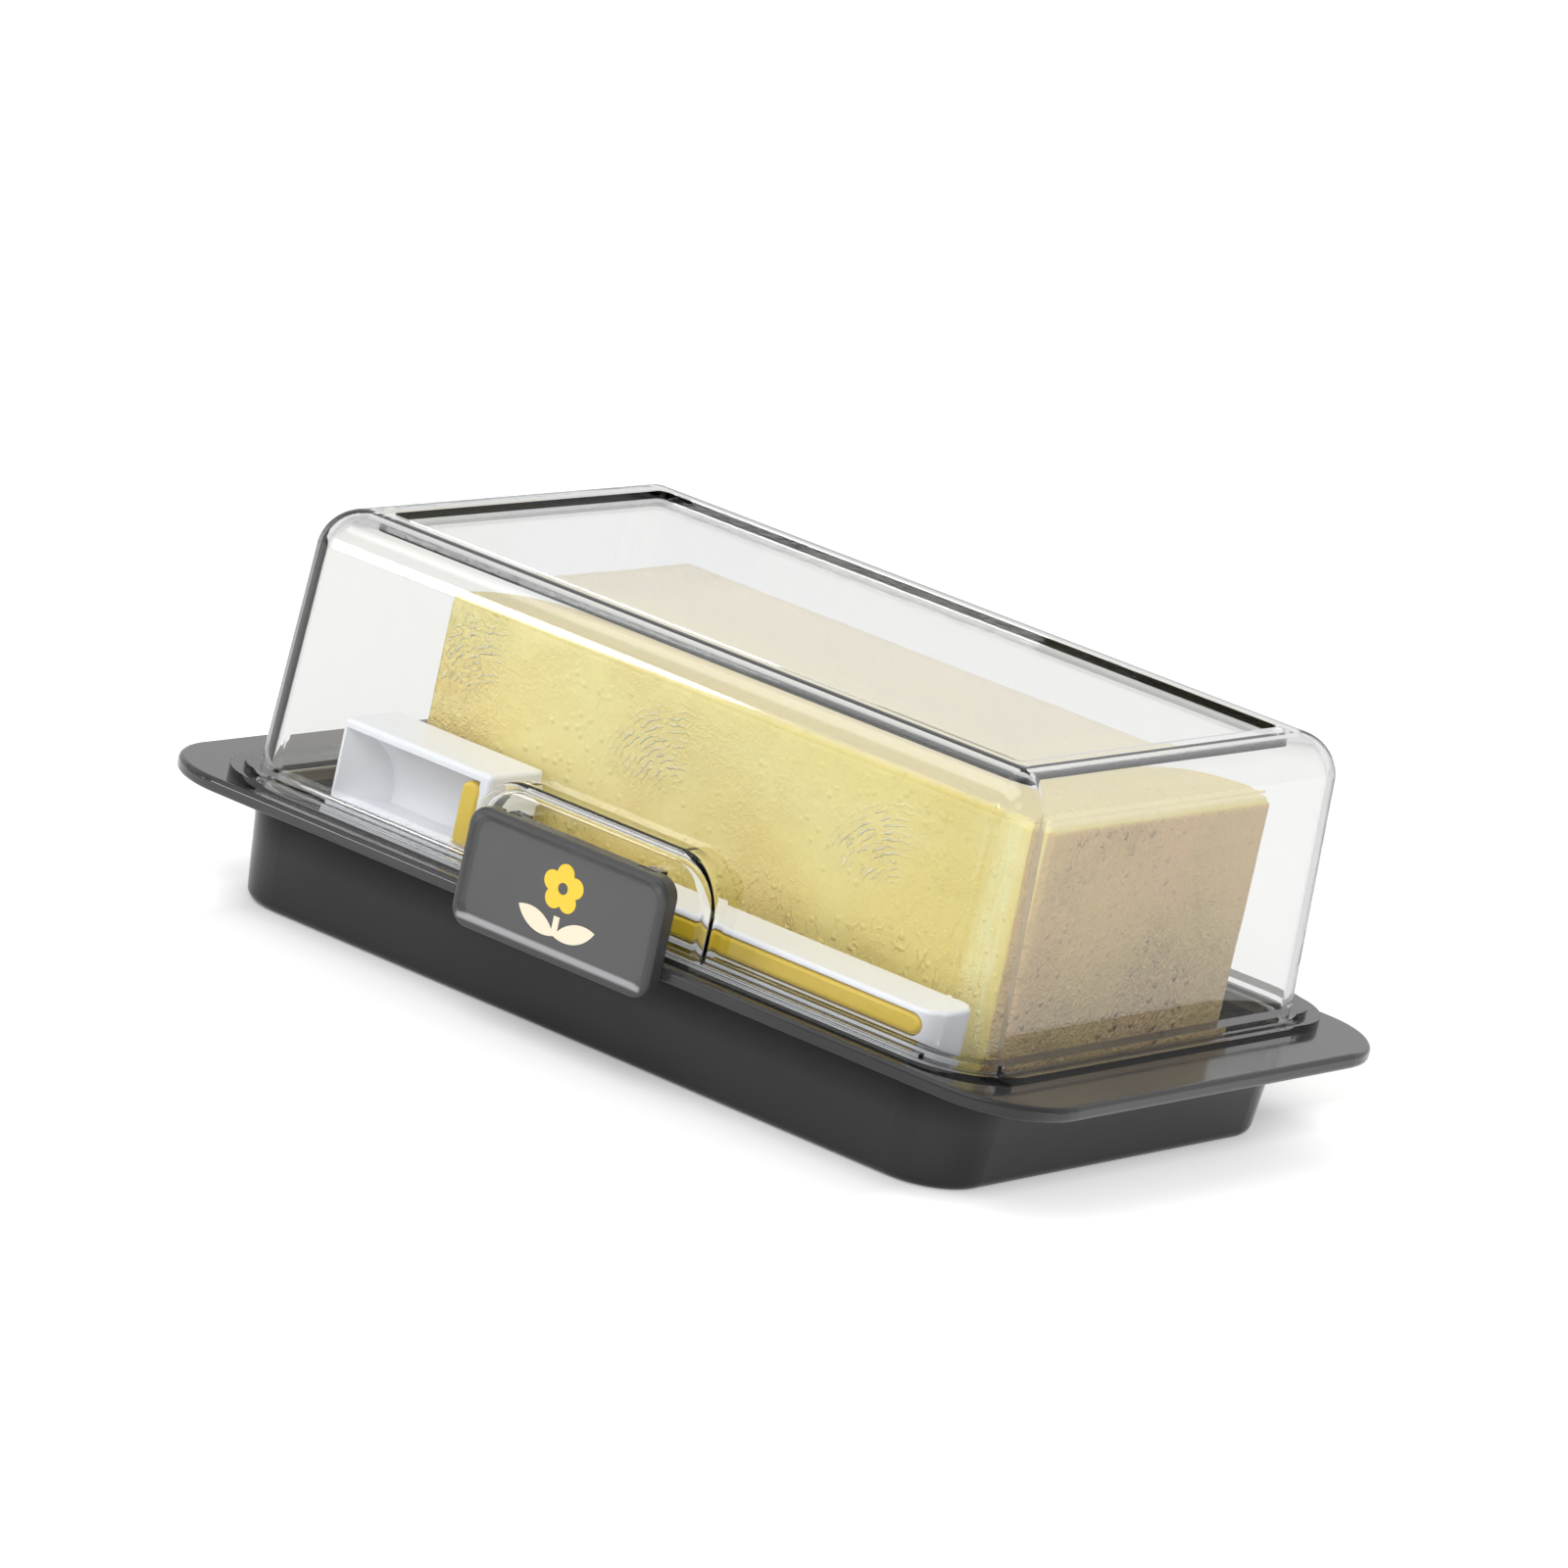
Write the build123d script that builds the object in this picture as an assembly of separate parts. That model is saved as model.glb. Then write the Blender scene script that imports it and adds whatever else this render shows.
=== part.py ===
from build123d import *
import math
import os

# All sizes in millimetres. X runs along the dish, the latch faces -Y, Z is up from the resting face.

# Lid: the clear cover, which sets the plan of the whole dish
lid_length = 155.0
lid_width = 99.0
lid_corner = 8.0
lid_draft = 2.15
lid_rise = 48.7
lid_wall = 1.8
lid_top_round = 7.4
panel_border_end = 9.35
panel_border_side = 9.65
panel_corner = 1.4
panel_depth = 1.4
rim_reach = 5.0
rim_step = 2.6
rim_thickness = 1.6
rim_step_rise = 1.0
bead_setback = 7.5
bead_width = 1.5
bead_height = 0.6
skirt_depth = 1.8
skirt_wall = 1.5
lid_clearance = 0.3

# Base tray: the dark dish with its wide flange
base_height = 20.7
flange_wing_end = 15.75
flange_wing_side = 7.2
flange_corner = 16.0
flange_thickness = 2.6
flange_edge_round = 0.9
shoulder_end = 0.8
shoulder_side = 1.5
body_corner = 11.0
body_draft = 1.9
body_foot_round = 2.0
tray_wall = 1.8
tray_floor = 2.2
tray_floor_round = 3.0

# Latch plate
latch_offset = -0.5
plate_width = 41.6
plate_height = 20.6
plate_thickness = 3.1
plate_corner = 3.4
plate_border = 1.2
plate_field_depth = 0.8
plate_field_bevel = 50
plate_edge_round = 0.8
plate_gap = 0.2
plate_overhang = 3.4

# Latch boss of the lid, with the ears that hold the hinge pin
boss_border_side = 4.7
boss_border_top = 3.7
boss_setback = 2.9
boss_corner = 9.0
boss_round = 2.2
boss_wall = 1.6
ear_width = 3.0
ear_radius = 1.7
ear_inset = 6.6
pin_radius = 0.8
pin_clearance = 0.05
pin_drop = 2.0
knuckle_gap = 0.25
relief_gap = 0.2

# Emblem let into the plate: a blossom over two leaves
blossom_petals = 5
petal_radius = 1.75
petal_ring = 2.45
blossom_eye = 1.0
blossom_rise = 2.2
blossom_gap = 0.6
leaf_reach = 8.0
leaf_rise = 3.0
leaf_bend = 6.4
leaf_foot = 5.9
stem_width = 1.2
inlay_depth = 0.35
inlay_proud = 0.05
inlay_clearance = 0.03

# Cutter: a bow with a grip bar, a thumb block, two legs and a wire
cutter_left_gap = 15.9
cutter_right_gap = 10.5
cutter_front_gap = 3.9
cutter_height = 33.5
head_length = 32.2
head_width = 14.3
bar_width = 12.2
bar_height = 9.4
bar_top_height = 24.9
bar_corner = 3.6
cutter_edge_round = 0.8
leg_length = 8.0
leg_width = 9.0
leg_inset = 1.0
pocket_roof = 1.5
pocket_top_depth = 2.2
pocket_floor_depth = 8.4
pocket_hollow = 2.0
pocket_wall_angle = 34
pocket_floor_rise = 19.9
pocket_end_wall = 2.2
pocket_mouth_inset = 0.9
grip_height = 3.6
grip_depth = 1.8
grip_clearance = 0.25
grip_drop = 1.2
grip_post_width = 3.7
grip_post_top_gap = 0.6
slot_end_wall = 2.2
wire_radius = 0.3
wire_rise = 2.6
ferrule_radius = 1.1
ferrule_length = 3.0
ferrule_clearance = 0.05

# Butter block: fills the dish behind the cutter, short of its walls by these gaps
butter_left_gap = 19.7
butter_right_gap = 8.2
butter_front_gap = 2.1
butter_back_gap = 12.7
butter_top_gap = 7.9
butter_round = 1.6
rest_gap = 0.3

# How far a cutting form runs past the surface it opens, and how near counts as on a plane
cut_past = 1.0
near = 1e-4

# Values that follow from the sizes above
flange_length = lid_length + 2 * flange_wing_end
flange_width = lid_width + 2 * flange_wing_side
flange_bottom = base_height - flange_thickness
body_top_length = lid_length + 2 * shoulder_end
body_top_width = lid_width + 2 * shoulder_side
body_length = body_top_length - 2 * body_draft
body_width = body_top_width - 2 * body_draft
opening_length = body_top_length - 2 * tray_wall
opening_width = body_top_width - 2 * tray_wall
opening_corner = body_corner + body_draft - tray_wall
lid_top = base_height + lid_rise
panel_length = lid_length - 2 * (lid_draft + panel_border_end)
panel_width = lid_width - 2 * (lid_draft + panel_border_side)
panel_underside = lid_top - panel_depth - lid_wall
bead_length = lid_length - 2 * bead_setback
plate_back = -flange_width / 2 - plate_gap
plate_front = plate_back - plate_thickness
plate_bottom = flange_bottom - plate_overhang
plate_top = plate_bottom + plate_height
boss_face = -flange_width / 2 + boss_setback
boss_width = plate_width + 2 * boss_border_side
boss_top = plate_top + boss_border_top
ear_spacing = plate_width - 2 * ear_inset
pin_height = plate_top - pin_drop
pin_depth = boss_face - ear_radius - knuckle_gap - relief_gap
pin_length = ear_spacing + ear_width
knuckle_length = ear_spacing - ear_width - 2 * knuckle_gap
cutter_left = -opening_length / 2 + cutter_left_gap
cutter_right = opening_length / 2 - cutter_right_gap
cutter_front = -opening_width / 2 + cutter_front_gap
cutter_bottom = tray_floor + rest_gap
cutter_top = cutter_bottom + cutter_height
head_right = cutter_left + head_length
bar_top = cutter_bottom + bar_top_height
bar_bottom = bar_top - bar_height
pocket_floor_height = cutter_bottom + pocket_floor_rise
grip_middle = bar_top - grip_drop - grip_height / 2
grip_right = cutter_right - slot_end_wall
wire_height = cutter_bottom + wire_rise
wire_depth = cutter_front + leg_inset + leg_width / 2
butter_x = (-opening_length / 2 + butter_left_gap, opening_length / 2 - butter_right_gap)
butter_y = (cutter_front + head_width + butter_front_gap, opening_width / 2 - butter_back_gap)
butter_z = (tray_floor + rest_gap, panel_underside - butter_top_gap)


def slab(length, width, corner, bottom, top):
    """A flat block with rounded corners in plan."""
    outline = Plane.XY.offset(bottom) * RectangleRounded(length, width, corner)
    return extrude(outline, amount=top - bottom)


def tapered(length, width, corner, bottom, top, growth):
    """A block whose plan grows by growth on every side from bottom to top."""
    low = Plane.XY.offset(bottom) * RectangleRounded(length, width, corner)
    high = Plane.XY.offset(top) * RectangleRounded(
        length + 2 * growth, width + 2 * growth, corner + growth
    )
    return loft([low, high], ruled=True)


def block(x_range, y_range, z_range):
    """A plain box between two corners."""
    size = [high - low for low, high in (x_range, y_range, z_range)]
    middle = [(high + low) / 2 for low, high in (x_range, y_range, z_range)]
    return Pos(*middle) * Box(*size)


def rod_along_x(radius, left, right, y, z):
    """A round rod along X."""
    return Pos((left + right) / 2, y, z) * Rot(0, 90, 0) * Cylinder(radius, right - left)


def front_sketch(shape, y):
    """A sketch drawn in X and Z, standing in the plane at y and facing -Y."""
    return Plane(origin=(0, y, 0), x_dir=(1, 0, 0), z_dir=(0, -1, 0)) * shape


def edges_at(solid, z):
    """The edges that lie in the level plane at z."""
    return [e for e in solid.edges() if abs(e.bounding_box().min.Z - z) < near
            and abs(e.bounding_box().max.Z - z) < near]


def make_base_tray():
    body = tapered(body_length, body_width, body_corner, 0, flange_bottom, body_draft)
    body = fillet(edges_at(body, 0), body_foot_round)
    flange = slab(flange_length, flange_width, flange_corner, flange_bottom, base_height)
    flange = fillet(edges_at(flange, base_height) + edges_at(flange, flange_bottom), flange_edge_round)
    growth = body_draft * (base_height - tray_floor) / flange_bottom
    hollow = tapered(
        opening_length - 2 * growth,
        opening_width - 2 * growth,
        opening_corner - growth,
        tray_floor,
        base_height,
        growth,
    )
    hollow = fillet(edges_at(hollow, tray_floor), tray_floor_round)
    throat = slab(opening_length, opening_width, opening_corner, flange_bottom, base_height + cut_past)
    return body + flange - hollow - throat


def lid_shell_block(inset, top):
    """The lid's outer form drawn in by inset on every side, up to the given height."""
    shape = tapered(
        lid_length - 2 * inset,
        lid_width - 2 * inset,
        lid_corner - inset,
        base_height,
        top,
        -lid_draft,
    )
    return fillet(edges_at(shape, top), lid_top_round - inset)


def boss_form(inset, back, front):
    """The arched boss behind the latch, drawn in by inset."""
    half = boss_width / 2 - inset
    top = boss_top - inset
    corner = boss_corner - inset
    with_arch = make_face(
        Polyline((-half, base_height), (half, base_height), (half, top - corner))
        + RadiusArc((half, top - corner), (half - corner, top), -corner)
        + Line((half - corner, top), (-half + corner, top))
        + RadiusArc((-half + corner, top), (-half, top - corner), -corner)
        + Line((-half, top - corner), (-half, base_height))
    )
    arch = Pos(latch_offset, 0, 0) * extrude(front_sketch(with_arch, back), amount=back - front)
    rounded = [e for e in arch.edges()
               if abs(e.center().Y - front) < near and e.center().Z > base_height + cut_past]
    return fillet(rounded, boss_round - inset)


def make_lid_shell():
    shell = lid_shell_block(0, lid_top)
    rim = slab(
        lid_length + 2 * rim_reach,
        lid_width + 2 * rim_reach,
        lid_corner + rim_reach,
        base_height,
        base_height + rim_thickness,
    )
    step = slab(
        lid_length + 2 * rim_step,
        lid_width + 2 * rim_step,
        lid_corner + rim_step,
        base_height,
        base_height + rim_thickness + rim_step_rise,
    )
    shell += rim + step
    bead_y = -lid_width / 2 - (rim_reach + rim_step) / 2
    bead_top = base_height + rim_thickness + bead_height
    shell += block(
        (-bead_length / 2, bead_length / 2),
        (bead_y - bead_width / 2, bead_y + bead_width / 2),
        (base_height, bead_top),
    )
    shell += boss_form(0, -lid_width / 2 + boss_round, boss_face)
    skirt = slab(
        opening_length - 2 * lid_clearance,
        opening_width - 2 * lid_clearance,
        opening_corner - lid_clearance,
        base_height - skirt_depth,
        base_height,
    )
    shell += skirt
    hollow = lid_shell_block(lid_wall, lid_top - lid_wall)
    hollow -= slab(
        panel_length + 2 * lid_wall,
        panel_width + 2 * lid_wall,
        panel_corner + lid_wall,
        panel_underside,
        lid_top,
    )
    skirt_hollow = slab(
        opening_length - 2 * (lid_clearance + skirt_wall),
        opening_width - 2 * (lid_clearance + skirt_wall),
        opening_corner - lid_clearance - skirt_wall,
        base_height - skirt_depth,
        base_height,
    )
    boss_hollow = boss_form(boss_wall, -lid_width / 2 + lid_wall + lid_draft, boss_face + boss_wall)
    boss_hollow -= slab(lid_length, flange_width, lid_corner, 0, base_height + rim_thickness)
    shell -= hollow
    shell -= skirt_hollow
    shell -= boss_hollow
    shell -= slab(panel_length, panel_width, panel_corner, lid_top - panel_depth, lid_top + cut_past)
    for side in (-1, 1):
        middle = latch_offset + side * ear_spacing / 2
        left = middle - ear_width / 2
        right = middle + ear_width / 2
        ear = rod_along_x(ear_radius, left, right, pin_depth, pin_height)
        ear += block(
            (left, right),
            (pin_depth, boss_face),
            (pin_height - ear_radius, pin_height + ear_radius),
        )
        ear -= rod_along_x(pin_radius, left, right, pin_depth, pin_height)
        shell += ear
    return shell


def blossom_sketch():
    flower = Sketch()
    for i in range(blossom_petals):
        angle = math.radians(90 + 360 * i / blossom_petals)
        x = petal_ring * math.cos(angle)
        z = petal_ring * math.sin(angle)
        flower += Pos(x, z) * Circle(petal_radius)
    flower += Circle(petal_ring)
    return Pos(latch_offset, emblem_middle() + blossom_rise) * (flower - Circle(blossom_eye))


def leaves_sketch():
    """Two pointed leaves that grow from the foot of a short stem."""
    foot = (0, -leaf_foot)
    leaves = Pos(0, -leaf_foot / 2) * Rectangle(stem_width, leaf_foot)
    for side in (-1, 1):
        tip = (side * leaf_reach, leaf_rise - leaf_foot)
        leaves += make_face(RadiusArc(foot, tip, leaf_bend) + RadiusArc(tip, foot, leaf_bend))
    leaves -= Pos(0, blossom_rise) * Circle(petal_ring + petal_radius + blossom_gap)
    return Pos(latch_offset, emblem_middle()) * leaves


def emblem_middle():
    return (plate_bottom + plate_top) / 2


def inlay(shape, grow, depth_below, proud):
    """An inlay standing on the plate's field, or its seat when it is grown a little."""
    field = plate_front + plate_field_depth
    outline = offset(shape, amount=grow) if grow else shape
    return extrude(front_sketch(outline, field + depth_below), amount=depth_below + proud)


def make_latch_plate():
    middle = Pos(latch_offset, emblem_middle())
    outline = middle * RectangleRounded(plate_width, plate_height, plate_corner)
    plate = extrude(front_sketch(outline, plate_back), amount=plate_thickness)
    front_edges = [e for e in plate.edges() if abs(e.center().Y - plate_front) < near]
    plate = fillet(front_edges, plate_edge_round)
    field_inset = plate_border + plate_field_depth * math.tan(math.radians(plate_field_bevel))
    field = middle * RectangleRounded(
        plate_width - 2 * field_inset, plate_height - 2 * field_inset, plate_corner - plate_border
    )
    plate -= extrude(
        front_sketch(field, plate_front + plate_field_depth), amount=plate_field_depth, taper=-plate_field_bevel
    )
    knuckle = rod_along_x(
        ear_radius,
        latch_offset - knuckle_length / 2,
        latch_offset + knuckle_length / 2,
        pin_depth,
        pin_height,
    )
    plate += knuckle
    plate -= rod_along_x(
        pin_radius + pin_clearance,
        latch_offset - pin_length / 2,
        latch_offset + pin_length / 2,
        pin_depth,
        pin_height,
    )
    for side in (-1, 1):
        middle_x = latch_offset + side * ear_spacing / 2
        left = middle_x - ear_width / 2 - knuckle_gap
        right = middle_x + ear_width / 2 + knuckle_gap
        reach = ear_radius + relief_gap
        plate -= rod_along_x(reach, left, right, pin_depth, pin_height)
        plate -= block((left, right), (pin_depth - reach, pin_depth), (pin_height, plate_top + cut_past))
    plate -= inlay(blossom_sketch(), inlay_clearance, inlay_depth, plate_field_depth)
    plate -= inlay(leaves_sketch(), inlay_clearance, inlay_depth, plate_field_depth)
    return plate


def make_latch_pin():
    return rod_along_x(
        pin_radius, latch_offset - pin_length / 2, latch_offset + pin_length / 2, pin_depth, pin_height
    )


def make_cutter_frame():
    head = block(
        (cutter_left, head_right), (cutter_front, cutter_front + head_width), (bar_bottom, cutter_top)
    )
    head = fillet(head.edges().filter_by(Axis.Z) + head.edges().group_by(Axis.Z)[-1], cutter_edge_round)
    bar = block(
        (head_right - bar_corner, cutter_right),
        (cutter_front, cutter_front + bar_width),
        (bar_bottom, bar_top),
    )
    bar = fillet(bar.edges().filter_by(Axis.Z).group_by(Axis.X)[-1], bar_corner)
    bar = fillet(edges_at(bar, bar_top), cutter_edge_round)
    frame = head + bar
    leg_right = cutter_right - slot_end_wall
    for left, right in ((head_right - leg_length, head_right), (leg_right - leg_length, leg_right)):
        frame += block(
            (left, right),
            (cutter_front + leg_inset, cutter_front + leg_inset + leg_width),
            (cutter_bottom, bar_bottom + cut_past),
        )
    frame -= thumb_pocket()
    frame -= grip_form(grip_clearance)
    for left, right in wire_ends():
        frame -= rod_along_x(ferrule_radius + ferrule_clearance, left, right, wire_depth, wire_height)
    frame -= rod_along_x(
        wire_radius + ferrule_clearance, head_right - leg_length, leg_right, wire_depth, wire_height
    )
    return frame


def thumb_pocket():
    """The scoop in the thumb block: shallow under its roof, deep at its floor, with a slanted left wall."""
    roof = cutter_top - pocket_roof
    mouth_left = cutter_left + pocket_mouth_inset
    pocket_right = head_right - pocket_end_wall
    reach = pocket_floor_depth + cut_past
    plan = Polyline(
        (mouth_left, cutter_front - cut_past),
        (mouth_left, cutter_front),
        (mouth_left + reach * math.tan(math.radians(pocket_wall_angle)), cutter_front + reach),
        (pocket_right, cutter_front + reach),
        (pocket_right, cutter_front - cut_past),
        close=True,
    )
    walls = extrude(Plane.XY.offset(pocket_floor_height) * make_face(plan), amount=roof - pocket_floor_height)
    top_back = (cutter_front + pocket_top_depth, roof)
    floor_back = (cutter_front + pocket_floor_depth, pocket_floor_height)
    middle = (
        (top_back[0] + floor_back[0]) / 2 + pocket_hollow,
        (top_back[1] + floor_back[1]) / 2 + pocket_hollow / 2,
    )
    profile = make_face(
        ThreePointArc(top_back, middle, floor_back)
        + Line(floor_back, (cutter_front - cut_past, pocket_floor_height))
        + Line((cutter_front - cut_past, pocket_floor_height), (cutter_front - cut_past, roof))
        + Line((cutter_front - cut_past, roof), top_back)
    )
    return walls & extrude(Plane.YZ.offset(cutter_left) * profile, amount=head_length)


def wire_ends():
    """The two seats of the ferrules, at the outer faces of the legs."""
    left = head_right - leg_length
    right = cutter_right - slot_end_wall
    return (left, left + ferrule_length), (right - ferrule_length, right)


def grip_form(grow):
    """The yellow grip: a strip along the bar that turns up into the thumb pocket."""
    half = grip_height / 2 + grow
    left = head_right - pocket_end_wall - grip_post_width - grow
    turn = grip_right + grow - half
    strip_face = make_face(
        Line((left, grip_middle - half), (turn, grip_middle - half))
        + ThreePointArc(
            (turn, grip_middle - half), (turn + half, grip_middle), (turn, grip_middle + half)
        )
        + Line((turn, grip_middle + half), (left, grip_middle + half))
        + Line((left, grip_middle + half), (left, grip_middle - half))
    )
    strip = extrude(front_sketch(strip_face, cutter_front + grip_depth + grow), amount=grip_depth + grow)
    post_top = cutter_top - pocket_roof - grip_post_top_gap + 2 * grow
    post_half = grip_post_width / 2 + grow
    right = left + 2 * post_half
    post_face = make_face(
        Line((left, grip_middle - half), (right, grip_middle - half))
        + Line((right, grip_middle - half), (right, post_top - post_half))
        + ThreePointArc(
            (right, post_top - post_half), (left + post_half, post_top), (left, post_top - post_half)
        )
        + Line((left, post_top - post_half), (left, grip_middle - half))
    )
    post = extrude(front_sketch(post_face, cutter_front + grip_depth + grow), amount=grip_depth + grow)
    return strip + post


def make_cutter_grip():
    grip = grip_form(0)
    front = [e for e in grip.edges() if abs(e.center().Y - cutter_front) < near]
    return fillet(front, cutter_edge_round)


def make_cutter_wire():
    left, right = wire_ends()
    return rod_along_x(wire_radius, left[0], right[1], wire_depth, wire_height)


def make_wire_ferrules():
    sleeves = []
    for left, right in wire_ends():
        sleeve = rod_along_x(ferrule_radius, left, right, wire_depth, wire_height)
        sleeves.append(sleeve - rod_along_x(wire_radius, left, right, wire_depth, wire_height))
    return Compound(children=sleeves)


def make_butter_block():
    butter = block(butter_x, butter_y, butter_z)
    return fillet(butter.edges(), butter_round)


parts = {
    "base_tray": make_base_tray(),
    "lid_shell": make_lid_shell(),
    "latch_plate": make_latch_plate(),
    "latch_pin": make_latch_pin(),
    "latch_blossom": inlay(blossom_sketch(), 0, inlay_depth, inlay_proud),
    "latch_leaves": inlay(leaves_sketch(), 0, inlay_depth, inlay_proud),
    "cutter_frame": make_cutter_frame(),
    "cutter_grip": make_cutter_grip(),
    "cutter_wire": make_cutter_wire(),
    "wire_ferrules": make_wire_ferrules(),
    "butter_block": make_butter_block(),
}

os.makedirs("parts", exist_ok=True)
for name, shape in parts.items():
    export_step(shape, f"parts/{name}.step")
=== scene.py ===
import math
import random

import bpy
from mathutils import Matrix, Vector, noise


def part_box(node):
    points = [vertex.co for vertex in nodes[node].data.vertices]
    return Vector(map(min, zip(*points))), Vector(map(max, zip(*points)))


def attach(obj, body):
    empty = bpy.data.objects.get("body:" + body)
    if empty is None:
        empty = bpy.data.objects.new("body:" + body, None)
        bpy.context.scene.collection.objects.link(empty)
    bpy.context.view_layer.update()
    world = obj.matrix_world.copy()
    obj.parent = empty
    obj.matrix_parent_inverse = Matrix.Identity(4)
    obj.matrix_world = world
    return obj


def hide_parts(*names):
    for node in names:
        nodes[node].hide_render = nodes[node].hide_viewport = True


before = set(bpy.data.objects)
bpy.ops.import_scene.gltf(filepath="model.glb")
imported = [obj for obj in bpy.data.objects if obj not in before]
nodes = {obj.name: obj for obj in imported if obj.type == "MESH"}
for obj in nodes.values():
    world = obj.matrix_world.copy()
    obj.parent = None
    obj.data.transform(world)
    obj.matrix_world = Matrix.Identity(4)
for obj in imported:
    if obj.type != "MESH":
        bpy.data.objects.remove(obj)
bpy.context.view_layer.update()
print("frame loaded:", len(nodes), "nodes")


# Camera, at the photograph's angle. Lengths are metres.
cameraShot = {
    "azimuth": 33.842,      # degrees, 0 looks along +Y
    "elevation": 14.180,
    "roll": 12.589,         # the photograph is tilted
    "distance": 1.50236,
    "sideways": 0.006366,   # the aim, along the picture's own right and up
    "upward": 0.03833,
    "focalPixels": 9116.8,
    "picturePixels": 1600,
    "sensorWidth": 36.0,
}


def makeCamera():
    azimuth = math.radians(cameraShot["azimuth"])
    elevation = math.radians(cameraShot["elevation"])
    roll = math.radians(cameraShot["roll"])
    back = Vector((math.sin(azimuth) * math.cos(elevation),
                   -math.cos(azimuth) * math.cos(elevation),
                   math.sin(elevation)))
    level = Vector((math.cos(azimuth), math.sin(azimuth), 0))
    upright = back.cross(level)
    right = math.cos(roll) * level + math.sin(roll) * upright
    up = -math.sin(roll) * level + math.cos(roll) * upright
    camera = bpy.data.cameras.new("photoCamera")
    camera.sensor_width = cameraShot["sensorWidth"]
    camera.lens = cameraShot["focalPixels"] / cameraShot["picturePixels"] * cameraShot["sensorWidth"]
    camera.clip_start = 0.05
    camera.clip_end = 60
    holder = bpy.data.objects.new("photoCamera", camera)
    bpy.context.scene.collection.objects.link(holder)
    place = right * cameraShot["sideways"] + up * cameraShot["upward"] + back * cameraShot["distance"]
    turn = Matrix((right, up, back)).transposed().to_4x4()
    holder.matrix_world = Matrix.Translation(place) @ turn
    bpy.context.scene.camera = holder


makeCamera()
print("camera placed")


# Short ways to build node materials

def newMaterial(name):
    material = bpy.data.materials.new(name)
    material.use_nodes = True
    shader = material.node_tree.nodes["Principled BSDF"]
    return material, material.node_tree, shader


def addNode(tree, kind, **settings):
    node = tree.nodes.new(kind)
    for key, value in settings.items():
        setattr(node, key, value)
    return node


def objectPattern(tree, kind, scale, stretch=(1, 1, 1), **inputs):
    # a texture on Object coordinates, with its own stretch
    place = addNode(tree, "ShaderNodeTexCoord")
    mapping = addNode(tree, "ShaderNodeMapping")
    mapping.inputs["Scale"].default_value = stretch
    texture = addNode(tree, kind)
    tree.links.new(place.outputs["Object"], mapping.inputs["Vector"])
    tree.links.new(mapping.outputs["Vector"], texture.inputs["Vector"])
    texture.inputs["Scale"].default_value = scale
    for key, value in inputs.items():
        texture.inputs[key].default_value = value
    return texture


def ramp(tree, source, low, high, start=0.0, end=1.0):
    # a value remapped from one range to another
    node = addNode(tree, "ShaderNodeMapRange")
    node.inputs["From Min"].default_value = start
    node.inputs["From Max"].default_value = end
    node.inputs["To Min"].default_value = low
    node.inputs["To Max"].default_value = high
    tree.links.new(source, node.inputs["Value"])
    return node.outputs["Result"]


def mathNode(tree, operation, first, second=None):
    node = addNode(tree, "ShaderNodeMath", operation=operation)
    for socket, value in zip(node.inputs, (first, second)):
        if value is None:
            continue
        if isinstance(value, (int, float)):
            socket.default_value = value
        else:
            tree.links.new(value, socket)
    return node.outputs["Value"]


def product(tree, *values):
    result = values[0]
    for value in values[1:]:
        result = mathNode(tree, "MULTIPLY", result, value)
    return result


def objectParts(tree):
    # x, y and z of a point on the piece
    parts = addNode(tree, "ShaderNodeSeparateXYZ")
    tree.links.new(addNode(tree, "ShaderNodeTexCoord").outputs["Object"], parts.inputs["Vector"])
    return parts.outputs


def blendColours(tree, factor, first, second):
    node = addNode(tree, "ShaderNodeMix", data_type="RGBA")
    for socket, value in ((node.inputs[6], first), (node.inputs[7], second)):
        if isinstance(value, tuple):
            socket.default_value = (*value, 1)
        else:
            tree.links.new(value, socket)
    tree.links.new(factor, node.inputs[0])
    return node.outputs[2]


def bumpNode(tree, height, distance, strength, before=None):
    # before is a bump that this one goes on top of
    bump = addNode(tree, "ShaderNodeBump")
    if isinstance(strength, float):
        bump.inputs["Strength"].default_value = strength
    else:
        tree.links.new(strength, bump.inputs["Strength"])
    bump.inputs["Distance"].default_value = distance
    tree.links.new(height, bump.inputs["Height"])
    if before is not None:
        tree.links.new(before.outputs["Normal"], bump.inputs["Normal"])
    return bump


def dress(piece, material):
    piece.data.materials.clear()
    piece.data.materials.append(material)


# Dark moulded plastic of the tray
trayFinish = {
    "dark": (0.019, 0.019, 0.020),
    "light": (0.026, 0.026, 0.027),
    "underFlangeShade": (0.008, 0.008, 0.009),     # painted shade, close under the flange
    "underFlangeShadeHeights": (0.0105, 0.0172),
    "underFlangeShadeShine": 0.45,
    # the flange is painted lighter than the body: painted light, for the light it catches that the body under it
    # misses
    "litFlangeDark": (0.034, 0.034, 0.035),
    "litFlangeLight": (0.046, 0.046, 0.047),
    "flangeHeights": (0.0178, 0.0186),      # its underside, and where its colour is full
    "bodyShine": 0.34,
    "flangeShine": 0.50,
    "dull": 0.5,                            # the flange's front loses this share of its shine to the right
    "dullX": (0.005, 0.050),
    "dullY": (-0.051, -0.046),
    "gloss": (0.08, 0.16),                  # roughness, smoothest and roughest
    "cloudScale": 38,
    "grainScale": 2600,
    "bumpDepth": 0.00002,
}


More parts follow.
